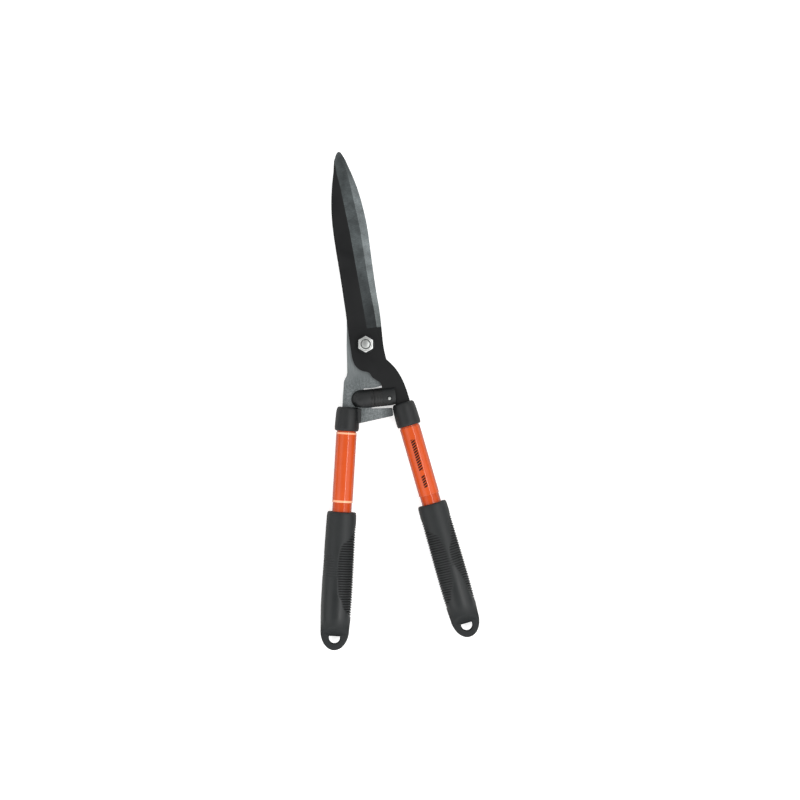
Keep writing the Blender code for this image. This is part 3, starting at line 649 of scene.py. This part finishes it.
pad_low, pad_high = left_high + clear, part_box("stop_pad_left")[1].x + met
pad = draw_round("stop_pad_left_rubber", [
    (stem, stem_end), (stem, pad_low), *reversed(rounded(stop_radius, pad_low, 0.05 * mm, -1)),
    *rounded(stop_radius, pad_high, 0.4 * mm, 1)])
lay(pad, along_x)
finish_piece(pad, 35, rubber, "back_half", "black_rubber", "stop_pad_left")

pad_low, pad_high = (corner.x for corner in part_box("stop_pad_right"))
pad_low -= met
spigot, spigot_end = 6 * mm, 6 * mm
profile = list(reversed(rounded(stop_radius, pad_low, 0.4 * mm, -1)))
for channel in (pad_low + 3.0 * mm, pad_low + 6.2 * mm):
    profile += [(stop_radius, channel - 0.5 * mm), (stop_radius - 0.1 * mm, channel - 0.15 * mm),
                (stop_radius - 0.1 * mm, channel + 0.15 * mm), (stop_radius, channel + 0.5 * mm)]
profile += rounded(stop_radius, pad_high, 0.2 * mm, 1)
pad = draw_round("stop_pad_right_rubber", profile)
cut(pad, rod(spigot + clear, spigot_end - clear, pad_high + mm))
lay(pad, along_x)
finish_piece(pad, 25, rubber, "front_half", "black_rubber", "stop_pad_right")

right_low, right_high = pad_high + clear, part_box("stop_holder_right")[1].x
rivet_at = (19.6 * mm, -62.9 * mm)
holder = draw_round("stop_holder_right_nylon", [
    (spigot, spigot_end), (spigot, right_low - closed),
    *reversed(rounded(stop_radius, right_low - closed, 0.1 * mm, -1)),
    *rounded(stop_radius, right_high, 0.8 * mm, 1)])
lay(holder, along_x)
cut(holder, block((pad_high, stop_y - 15 * mm, front_blade_low - clear),
                  (40 * mm, stop_y + 15 * mm, front_blade_high + clear)))
cut(holder, ferrule_room("right"))
seat = stop_level + stop_radius - 1.6 * mm
rivet_hole, seat_radius, through = 1.8 * mm, 2.6 * mm, 40 * mm
cut(holder, rod(rivet_hole, -mm, through, at=rivet_at, sides=32))
cut(holder, rod(seat_radius, seat, through, at=rivet_at, sides=48))
cut(holder, rod(seat_radius, -mm, 2 * stop_level - seat, at=rivet_at, sides=48))
finish_piece(holder, 35, filled_nylon, "front_half", "black_plastic", "stop_holder_right")

shank_radius, head_radius, head_rise = 1.5 * mm, 2.0 * mm, 1.1 * mm
head_at = seat + clear
dome_steps = [math.pi / 2 * i / 8 for i in range(9)]
edge = 0.1 * mm
top_dome = [(max(head_radius * math.cos(a), 0.05 * mm), head_at + edge + (head_rise - edge) * math.sin(a))
            for a in dome_steps]
profile = [(shank_radius, stop_level), (shank_radius, head_at), (head_radius, head_at), *top_dome]
profile = [(r, 2 * stop_level - z) for r, z in reversed(profile)] + profile[1:]
rivet = draw_round("stop_rivet_zinc", profile, sides=48)
lay(rivet, Matrix.Translation((*rivet_at, 0)))
finish_piece(rivet, 40, dull_zinc, "front_half", "zinc", "stop_rivet")


# ---- Tang sleeves and pins ----
# Inside each tube a moulded plug of uncoloured nylon centres the flat tang, and a spring-steel pin
# goes through tube, plug and tang. None of it shows, so the CAD solids carry the finishes.
natural_nylon = speckled("natural_nylon", "#c9c3b4", "#d6d1c4", 0.5, 0.6 * mm, 0.02 * mm, IOR=1.53)
for side in handles:
    for node, finish in (("tang_sleeve_", natural_nylon), ("tang_pin_", blackened)):
        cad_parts[node + side].data.materials.clear()
        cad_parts[node + side].data.materials.append(finish)


# ---- Handle tubes ----
# Seamed steel tube, 21.6 mm across with a 1.2 mm wall, sprayed with orange enamel and stoved, which
# leaves a glossy coat with a little orange peel. The pin's two holes are hidden by the ferrule.
tube_radius, tube_wall, tube_top, tube_end = 10.8 * mm, 1.2 * mm, 92.5 * mm, 312 * mm
pin_at = 96.2 * mm


def on_handle(tree, side):
    """Coordinates on a handle: across it, up from its middle, and down it from the pivot's level."""
    place = handles[side]
    turned = add(tree, "Mapping", {"Vector": add(tree, "TexCoord").outputs["Object"],
                                   "Location": place.translation, "Rotation": place.to_euler()},
                 vector_type="TEXTURE")
    return turned, add(tree, "SeparateXYZ", {"Vector": turned})


def orange_coat(name, side, dark, light, roughness):
    """Glossy orange: slow changes of tone along the handle over a fine orange peel."""
    made, tree, shader = start_material(name, dark, roughness, IOR=1.42)
    place, parts = on_handle(tree, side)
    clouds = add(tree, "TexNoise", {"Vector": place, "Scale": 1 / (11 * mm), "Detail": 3.0})
    tones = add(tree, "Mix", {"Factor": clouds, "A": colour(dark), "B": colour(light)},
                data_type="RGBA")
    wear = add(tree, "MapRange", {"Value": clouds, "From Min": 0.3, "From Max": 0.7,
                                  "To Min": roughness - 0.02, "To Max": roughness + 0.03})
    peel = add(tree, "TexNoise", {"Vector": place, "Scale": 1 / (1.4 * mm), "Detail": 1.0})
    bump = add(tree, "Bump", {"Height": peel, "Strength": 0.5, "Distance": 0.02 * mm})
    wire(tree, shader, Roughness=wear, Normal=bump)
    return made, tree, shader, tones, parts


for side in handles:
    inner, lip = tube_radius - tube_wall, 0.25 * mm
    profile = [*reversed(rounded(tube_radius, tube_top, lip, -1)), *rounded(tube_radius, tube_end, lip, 1),
               (inner, tube_end), (inner, tube_top)]
    tube = draw_round(f"handle_tube_{side}_enamelled", profile, ring=True)
    pin_hole = rod(1.9 * mm, -20 * mm, 20 * mm, sides=32)
    lay(pin_hole, Matrix.Translation((0, 0, pin_at)) @ Matrix.Rotation(math.pi / 2, 4, "X"))
    cut(tube, pin_hole)
    lay(tube, handles[side])
    enamel, tree, shader, tone, _ = orange_coat(f"stoved_orange_enamel_{side}", side,
                                                "#bb4112", "#c64915", 0.16)
    wire(tree, shader, Base_Color=tone)
    # Painted shade at the tube's rim, where it is seen at a slant.
    shade_and_dull_at_a_slant(tree, shader, 0.4)
    finish_piece(tube, 40, enamel, bodies[side], "orange_enamel", f"handle_tube_{side}")


# ---- Film sleeves ----
# A thin orange plastic film shrunk on to each tube, glossy. The left one has a paler welt at each end,
# where it has stretched. The right one is printed with two rows of plain slanted ticks on its front.
film_inner, film_outer, film_top, film_end = 11.1 * mm, 11.5 * mm, 101 * mm, 179.5 * mm
welt = {"left": (2.0 * mm, 2.4 * mm), "right": (0.0, 0.0)}  # width of the pale band at each end
# Each row of ticks: its middle down the handle, half its length and half its width.
rows = ((133.1 * mm, 18.0 * mm, 2.4 * mm), (163.7 * mm, 6.9 * mm, 2.1 * mm))
row_aside = 1.0 * mm
tick_pitch, tick_slant, tick_share = 2.9 * mm, 0.45, 0.7


def level_step(tree, value, edge, blur=0.25 * mm):
    """1 below an edge, 0 above it."""
    return add(tree, "MapRange", {"Value": value, "From Min": edge - blur, "From Max": edge + blur,
                                  "To Min": 1.0, "To Max": 0.0})


for side in handles:
    lip = 0.15 * mm
    profile = [*reversed(rounded(film_outer, film_top, lip, -1)), *rounded(film_outer, film_end, lip, 1),
               (film_inner, film_end), (film_inner, film_top)]
    film = draw_round(f"label_sleeve_{side}_film", profile, ring=True)
    lay(film, handles[side])
    made, tree, shader, tone, parts = orange_coat(f"shrunk_orange_film_{side}", side,
                                                  "#c64a18", "#d2531d", 0.13)
    down = parts.outputs["Z"]
    top_welt = level_step(tree, down, film_top + welt[side][0])
    below = level_step(tree, down, film_end - welt[side][1])
    end_welt = add(tree, "Math", {0: 1.0, 1: below}, operation="SUBTRACT")
    pale = add(tree, "Math", {0: top_welt, 1: end_welt}, operation="MAXIMUM")
    tone = add(tree, "Mix", {"Factor": pale, "A": tone, "B": colour("#ffb48c")}, data_type="RGBA")
    if side == "right":
        inked = None
        leaning = add(tree, "Math", {0: parts.outputs["X"], 1: tick_slant, 2: down},
                      operation="MULTIPLY_ADD")
        turn = add(tree, "Math", {0: leaning, 1: tick_pitch}, operation="MODULO")
        tick = level_step(tree, turn, tick_share * tick_pitch)
        behind = add(tree, "Math", {0: parts.outputs["Y"], 1: -1.0}, operation="MULTIPLY")
        facing = level_step(tree, behind, 0.0)
        for middle, half_length, half_width in rows:
            away = add(tree, "Math", {0: down, 1: middle}, operation="SUBTRACT")
            along = add(tree, "Math", {0: away}, operation="ABSOLUTE")
            shifted = add(tree, "Math", {0: parts.outputs["X"], 1: row_aside}, operation="ADD")
            across = add(tree, "Math", {0: shifted}, operation="ABSOLUTE")
            inside = {0: level_step(tree, along, half_length), 1: level_step(tree, across, half_width)}
            both = add(tree, "Math", inside, operation="MULTIPLY")
            inked = both if inked is None else add(tree, "Math", {0: inked, 1: both}, operation="MAXIMUM")
        inked = add(tree, "Math", {0: inked, 1: facing}, operation="MULTIPLY")
        inked = add(tree, "Math", {0: inked, 1: tick}, operation="MULTIPLY")
        tone = add(tree, "Mix", {"Factor": inked, "A": tone, "B": colour("#2e0b04")}, data_type="RGBA")
    wire(tree, shader, Base_Color=tone)
    # Painted shade at the film's rim, where it is seen at a slant.
    shade_and_dull_at_a_slant(tree, shader, 0.5)
    finish_piece(film, 40, made, bodies[side], "orange_film", f"label_sleeve_{side}")


# ---- Ferrules ----
# A collar moulded in charcoal nylon closes the top of each tube and lets the flat tang in through a
# slot. It widens a little towards the tube. The left one has a boss, slotted for the fork's lower arm.
ferrule_end, ferrule_radius = 99.3 * mm, 13.6 * mm
tang_half, shoulder_half = 6.7 * mm, 8.6 * mm


def smooth_line(keys, at):
    """The value at a place on a smooth line through keys of (place, value)."""
    last = len(keys) - 2
    i = max(0, min(last, sum(place <= at for place, _ in keys) - 1))
    slopes = []
    for k in (i, i + 1):
        before, after = keys[max(k - 1, 0)], keys[min(k + 1, last + 1)]
        slopes.append((after[1] - before[1]) / (after[0] - before[0]))
    (a, start), (b, end) = keys[i], keys[i + 1]
    length = b - a
    t = (at - a) / length
    return (start * (1 + 2 * t) * (1 - t) ** 2 + slopes[0] * length * t * (1 - t) ** 2
            + end * t * t * (3 - 2 * t) + slopes[1] * length * t * t * (t - 1))


# Points down the collar's side: (from where, how far down from there, how far inside its radius).
ferrule_shape = [(start + down * mm, ferrule_radius - inward * mm) for start, down, inward in (
    (ferrule_top, 0.6, 2.3), (ferrule_top, 1.6, 1.6), (ferrule_top, 3, 1.15), (ferrule_top, 8, 0.55),
    (ferrule_end, -4, 0.02), (ferrule_end, -1.6, 0.2))]
for side in handles:
    rings = 26
    span = ferrule_shape[-1][0] - ferrule_shape[0][0]
    wall = [ferrule_shape[0][0] + span * i / rings for i in range(rings + 1)]
    profile = [(ferrule_radius - x * mm, ferrule_top + z * mm) for x, z in ((4.2, 0), (3.0, 0.12))]
    profile += [(smooth_line(ferrule_shape, z), z) for z in wall]
    profile += [(ferrule_radius - x * mm, ferrule_end - z * mm)
                for x, z in ((0.5, 0.9), (0.9, 0.35), (1.4, 0))]
    ferrule = draw_round(f"ferrule_{side}_nylon", profile)
    low = (back_low if side == "left" else front_blade_low) - clear - stop_level
    high = low + blade_thickness + 2 * clear
    if side == "left":
        boss = block((0, -7 * mm, ferrule_top + 1.2 * mm),
                     (ferrule_radius + 1.65 * mm, 6.4 * mm, ferrule_top + 16.5 * mm))
        ease(boss, 1.0 * mm, segments=3)
        combine(ferrule, boss, "UNION")
        slot = block((0, low, ferrule_top - mm), (30 * mm, high, ferrule_top + 20.5 * mm))
    else:
        slot = block((-shoulder_half, low, ferrule_top - mm), (shoulder_half, high, ferrule_top + 7.5 * mm))
    cut(ferrule, slot)
    slot = block((-tang_half, low, ferrule_top - mm), (tang_half, high, ferrule_end + mm))
    cut(ferrule, slot)
    cut(ferrule, rod(tube_radius + clear, tube_top - clear, ferrule_end + mm, sides=96))
    lay(ferrule, handles[side])
    finish_piece(ferrule, 35, filled_nylon, bodies[side], "black_plastic", f"ferrule_{side}")


# ---- Grips ----
# Soft charcoal thermoplastic rubber moulded over the tube's end, oval, with fine ribs round both sides
# that leave a smooth hourglass down the front and the back. The end is thinned to a flat tab with a
# D-shaped hole to hang it by. The mould was spark-eroded, which leaves a satin grain.
grip_top, grip_end = 190 * mm, 345.4 * mm
end_from, end_width = 323.0 * mm, 16.05 * mm
flatten = stop_level / (17.5 * mm)
grip_shape = [(z * mm, radius * mm) for z, radius in (
    (190, 15.1), (190.25, 15.55), (191, 15.95), (193, 16.45), (205, 16.75), (230, 17.05), (270, 17.44),
    (295, 17.3), (309, 16.8), (316, 16.4))] + [(end_from, end_width)]
rib_pitch, rib_depth, rib_side_depth = 2.8 * mm, 1.05 * mm, 0.7 * mm
tab_half, thin_from, thin_to, widest_there = 4.5 * mm, 318 * mm, 328.4 * mm, 15 * mm
# How far from the middle the ribs start, as (distance down the grip, distance), inward and outward.
ribs_inward = [(t * mm, x * mm) for t, x in (
    (12, 19), (19, 15.6), (30, 11), (35, 4.5), (38, 2.4), (50, 0.2), (66, -0.4), (88, 1.6), (95, 3.2),
    (98, 6), (107, 9), (113, 14), (122, 19))]
ribs_outward = [(t * mm, x * mm) for t, x in (
    (12, 19), (19, 15.2), (36, 12), (46, 9.5), (52, 5.8), (66, 4.3), (73, 6.2), (84, 9.6), (100, 12.4),
    (113, 15.6), (122, 19))]
# How deep the ribs are inward and outward: the left grip's outer side is nearly smooth.
rib_strength = {"left": (1.0, 0.0), "right": (0.8, 0.8)}
hole_flat, hole_middle, hole_radius = 329.2 * mm, 331.4 * mm, 6.2 * mm


def gentle(value, low, high):
    t = max(0.0, min(1.0, (value - low) / (high - low)))
    return t * t * (3 - 2 * t)


def hole_distance(across, along):
    """Distance outside the D-shaped hole, negative in it."""
    if along > hole_middle:
        return math.hypot(across, along - hole_middle) - hole_radius
    outside = (max(abs(across) - hole_radius, 0), max(hole_flat - along, 0))
    return math.hypot(*outside) or max(abs(across) - hole_radius, hole_flat - along)


def grip_surface(across, up, along, inward, strength):
    """The finished place of a point that starts on a plain cylinder of radius 1 round the handle."""
    if along > end_from:
        quarter = (along - end_from) / (grip_end - end_from) * math.pi / 2
        radius, along = end_width * math.cos(quarter), end_from + (grip_end - end_from) * math.sin(quarter)
    else:
        radius = smooth_line(grip_shape, along)
    down = along - grip_top
    groove = 0.0
    if 12 * mm < down < 122 * mm:
        starts = ribs_inward if across * inward > 0 or abs(across) < 0.12 else ribs_outward
        place = across * radius * (inward if starts is ribs_inward else -inward)
        blend = 0.8 * mm + 1.6 * mm * (1 - gentle(down, 34 * mm, 52 * mm))
        start = smooth_line(starts, down)
        faint = 0.3 * gentle(down, 46 * mm, 50 * mm) * (1 - gentle(down, 68 * mm, 72 * mm))
        if starts is ribs_inward:
            inside = strength[0] * gentle(place, start - blend, start + blend)
        else:
            inside = max(strength[1], faint) * gentle(place, start - blend, start + blend)
        crossing = 0.3 * gentle(down, 61 * mm, 64 * mm) * (1 - gentle(down, 71 * mm, 74 * mm))
        wave = 0.5 - 0.5 * math.cos(math.tau * down / rib_pitch)
        groove = max(inside, crossing) * wave ** 1.5
        radius -= (rib_depth + rib_side_depth * abs(across) ** 4) * groove
    x, y = across * radius, up * radius * flatten
    slope = widest_there + (along - thin_from) * (tab_half - widest_there) / (thin_to - thin_from)
    limit = max(tab_half, slope)
    away = hole_distance(x, along)
    rim = 1.3 * mm
    if away < rim:
        limit -= rim - math.sqrt(max(rim * rim - (rim - max(away, 0)) ** 2, 0))
    soft = 2.6 * mm
    if abs(y) > limit - soft:
        over = abs(y) - (limit - soft)
        y = math.copysign(limit - soft + soft * (1 - math.exp(-over / soft)), y)
    return (x, y, along), groove


def soft_grip():
    """Thermoplastic rubber: satin charcoal, faintly mottled and grained, with shade painted dark into the
    grooves and at the rim.
    """
    made, tree, shader = start_material("thermoplastic_rubber", "#181b1b", 0.45, IOR=1.45)
    place = add(tree, "TexCoord").outputs["Object"]
    mottle = add(tree, "TexNoise", {"Vector": place, "Scale": 1 / (12 * mm), "Detail": 4.0})
    tones = add(tree, "Mix", {"Factor": mottle, "A": colour("#101314"), "B": colour("#1a1e1f")},
                data_type="RGBA")
    # Painted shade: the colour darkens to near black with each point's groove depth, standing in for shade
    # in the ribs.
    grooves = add(tree, "Attribute", attribute_name="groove").outputs["Fac"]
    dark = add(tree, "Mix", {"Factor": grooves, "A": tones, "B": colour("#050606")},
               data_type="RGBA")
    height = add(tree, "SeparateXYZ", {"Vector": place}).outputs["Y"]
    polish = add(tree, "MapRange", {"Value": height, "From Min": -230 * mm, "From Max": -280 * mm,
                                    "To Min": 0.42, "To Max": 0.29})
    coarse = add(tree, "MapRange", {"Value": height, "From Min": -300 * mm, "From Max": -312 * mm,
                                    "To Min": 0.0, "To Max": 0.35})
    base = add(tree, "Math", {0: polish, 1: coarse}, operation="ADD")
    wear = add(tree, "Math", {0: mottle, 1: 0.16, 2: base},
               operation="MULTIPLY_ADD")
    matt = add(tree, "Math", {0: grooves, 1: 0.4, 2: wear}, operation="MULTIPLY_ADD")
    grain = add(tree, "TexNoise", {"Vector": place, "Scale": 1 / (0.5 * mm), "Detail": 3.0})
    bump = add(tree, "Bump", {"Height": grain, "Strength": 0.5, "Distance": 0.06 * mm})
    wire(tree, shader, Base_Color=dark, Roughness=matt, Normal=bump)
    shade_and_dull_at_a_slant(tree, shader)
    return made


grip_rubber = soft_grip()
for side, inward in (("left", 1), ("right", -1)):
    bpy.ops.object.select_all(action="DESELECT")
    bpy.ops.mesh.primitive_cylinder_add(vertices=112, radius=1, depth=grip_end - grip_top,
                                        location=(0, 0, (grip_top + grip_end) / 2))
    bpy.ops.object.transform_apply()
    grip = bpy.context.active_object
    grip.name = f"grip_{side}_rubber"
    cuts = 16
    for _ in range(2):
        select_edges(grip, lambda a, b, angle: math.hypot(a.x - b.x, a.y - b.y) < mm)
        bpy.ops.mesh.subdivide(number_cuts=cuts)
        bpy.ops.object.mode_set(mode="OBJECT")
    steps_in_end = 40
    rings = (cuts + 1) ** 2
    end_share = steps_in_end / rings
    # Each point's groove depth, which the rubber's material paints as shade.
    depths = grip.data.attributes.new("groove", "FLOAT", "POINT").data
    for point in grip.data.vertices:
        share = (point.co.z - grip_top) / (grip_end - grip_top)
        if share < 1 - end_share:
            along = grip_top + (end_from - grip_top) * share / (1 - end_share)
        else:
            along = end_from + (grip_end - end_from) * (share - 1 + end_share) / end_share
        point.co, depths[point.index].value = grip_surface(point.co.x, point.co.y, along, inward,
                                                           rib_strength[side])
    pick(grip)
    bpy.ops.object.mode_set(mode="EDIT")
    bpy.ops.mesh.select_all(action="SELECT")
    bpy.ops.mesh.remove_doubles(threshold=0.01 * mm)
    bpy.ops.mesh.normals_make_consistent(inside=False)
    bpy.ops.object.mode_set(mode="OBJECT")
    cut(grip, rod(tube_radius + clear, grip_top - mm, tube_end + clear, sides=96))
    hole = rod(hole_radius, -30 * mm, 30 * mm)
    lay(hole, Matrix.Translation((0, 0, hole_middle)) @ Matrix.Rotation(math.pi / 2, 4, "X"))
    combine(hole, block((-hole_radius, -30 * mm, hole_flat), (hole_radius, 30 * mm, hole_middle)), "UNION")
    above = block((-30 * mm, -31 * mm, hole_flat - 20 * mm), (30 * mm, 31 * mm, hole_flat))
    cut(hole, above)
    cut(grip, hole)
    lay(grip, handles[side])
    finish_piece(grip, 50, grip_rubber, bodies[side], "grip_rubber", f"grip_{side}")
